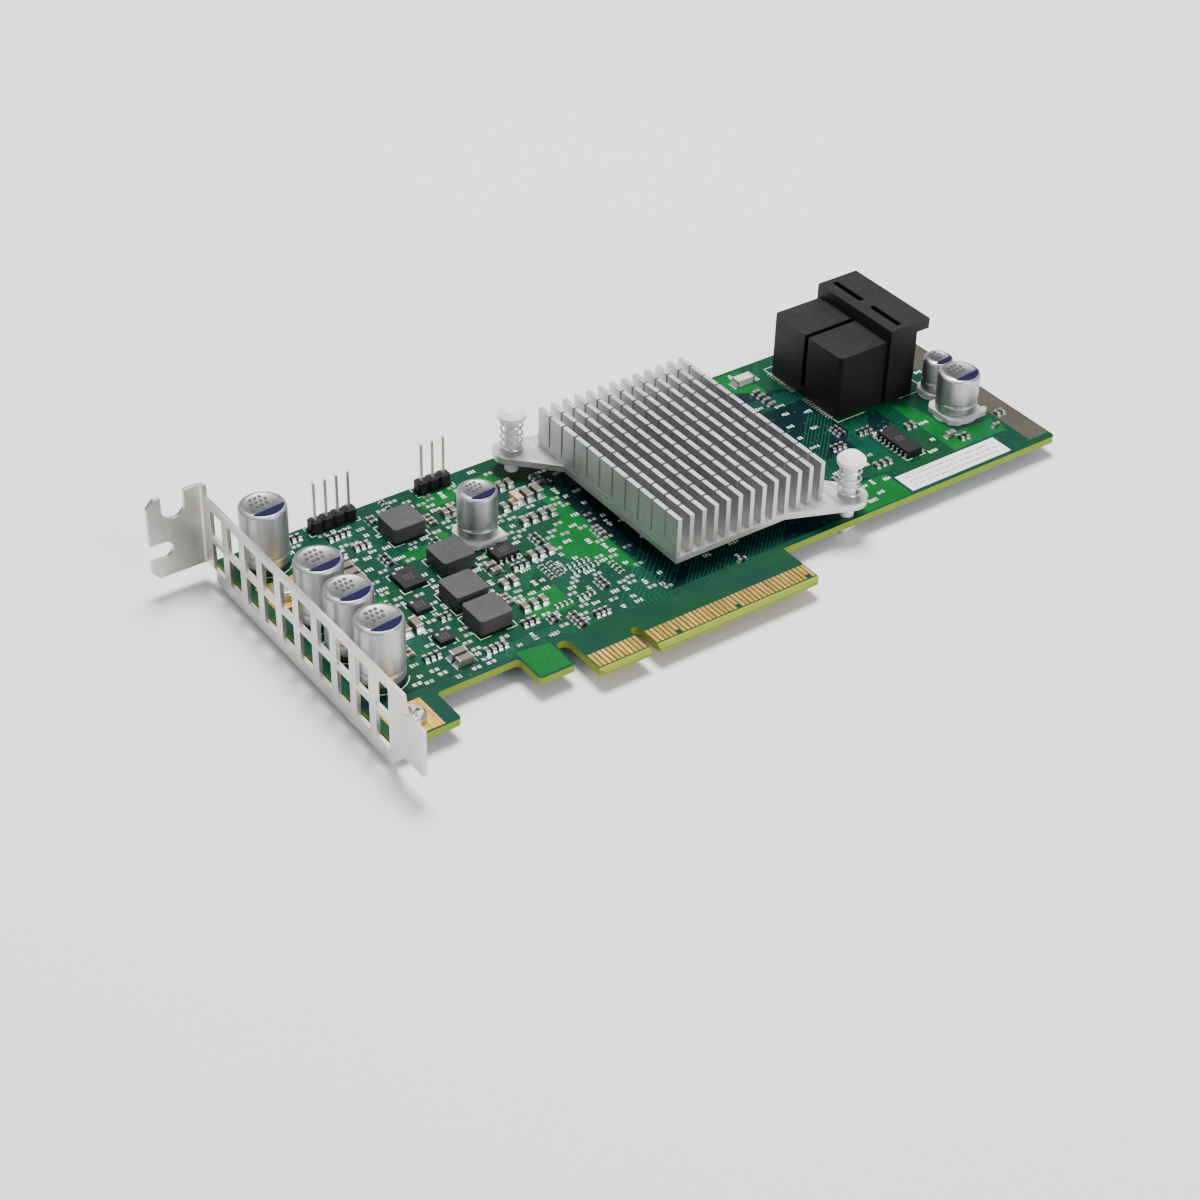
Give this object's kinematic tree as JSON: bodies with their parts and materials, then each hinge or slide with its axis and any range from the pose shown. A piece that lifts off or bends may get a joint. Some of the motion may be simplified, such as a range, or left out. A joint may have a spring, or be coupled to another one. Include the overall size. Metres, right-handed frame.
{
  "type": "raid controller card",
  "caption": "Low-profile expansion card with a vented bracket, edge contacts, a pin-fin heatsink, upright capacitors and a dual internal storage socket.",
  "frame": {"origin": "on the board's mid-plane, in the middle of the key notch at the lower edge of the contact tongue", "axes": "+X along the card away from the bracket, +Y from the contact tongue to the top edge, +Z out of the component side"},
  "size_m": [0.1782, 0.0785, 0.0218],
  "materials": {
    "solder_mask": "satin green solder mask over glass-fibre laminate",
    "gold_plating": "gold plating, satin",
    "bracket_steel": "nickel-plated sheet steel, satin",
    "screw_steel": "nickel-plated screw steel",
    "sink_aluminium": "satin extruded aluminium",
    "pin_nylon": "natural white moulded nylon",
    "spring_steel": "drawn spring wire",
    "package_laminate": "dark green package laminate",
    "die_silicon": "polished dark grey silicon",
    "thermal_compound": "soft grey thermal compound",
    "connector_black": "black glass-filled moulding",
    "contact_gold": "gold-plated contact alloy",
    "can_aluminium": "satin drawn aluminium with a printed dark segment",
    "seal_rubber": "black butyl seal",
    "base_moulding": "pale grey moulded base",
    "tinned_wire": "tinned copper",
    "header_black": "black moulded header",
    "header_gold": "thin gold over nickel",
    "ferrite_grey": "pressed iron powder, matt grey",
    "chip_black": "black moulding compound",
    "ceramic_brown": "brown-grey sintered ceramic",
    "ceramic_tan": "tan sintered ceramic",
    "ceramic_pale": "pale grey ceramic",
    "resistor_black": "black glazed film over white ceramic",
    "label_white": "white label film"
  },
  "bodies": {
    "root": {"circuit_board": "solder_mask", "edge_contacts_front": "gold_plating", "edge_contacts_back": "gold_plating", "ground_pads": "gold_plating", "io_bracket": "bracket_steel", "bracket_screws": "screw_steel", "heatsink": "sink_aluminium", "push_pin_left": "pin_nylon", "push_pin_right": "pin_nylon", "push_pin_spring_left": "spring_steel", "push_pin_spring_right": "spring_steel", "controller_package": "package_laminate", "controller_die": "die_silicon", "thermal_pad": "thermal_compound", "sas_connector": "connector_black", "sas_port_core_low": "connector_black", "sas_port_core_high": "connector_black", "sas_port_contacts_low": "contact_gold", "sas_port_contacts_high": "contact_gold", "capacitor_can_1": "can_aluminium", "capacitor_can_2": "can_aluminium", "capacitor_can_3": "can_aluminium", "capacitor_can_4": "can_aluminium", "capacitor_can_5": "can_aluminium", "capacitor_can_6": "can_aluminium", "capacitor_can_7": "can_aluminium", "capacitor_seal_1": "seal_rubber", "capacitor_seal_2": "seal_rubber", "capacitor_seal_3": "seal_rubber", "capacitor_seal_4": "seal_rubber", "capacitor_base_5": "base_moulding", "capacitor_base_6": "base_moulding", "capacitor_base_7": "base_moulding", "capacitor_leads": "tinned_wire", "four_pin_header_base": "header_black", "three_pin_header_base": "header_black", "four_pin_header_pins": "header_gold", "three_pin_header_pins": "header_gold", "inductor_1": "ferrite_grey", "inductor_2": "ferrite_grey", "inductor_3": "ferrite_grey", "inductor_4": "ferrite_grey", "inductor_terminals": "tinned_wire", "power_switch_chip_1": "chip_black", "power_switch_chip_2": "chip_black", "power_switch_chip_3": "chip_black", "regulator_chip": "chip_black", "flash_chip": "chip_black", "chip_leads": "tinned_wire", "ceramic_capacitors": "ceramic_brown", "ceramic_capacitor_ends": "tinned_wire", "tan_capacitors": "ceramic_tan", "tan_capacitor_ends": "tinned_wire", "chip_inductors": "ceramic_pale", "chip_inductor_ends": "tinned_wire", "sas_connector_tails": "tinned_wire", "chip_resistors": "resistor_black", "chip_resistor_ends": "tinned_wire", "printed_label": "label_white"}
  },
  "joints": []
}
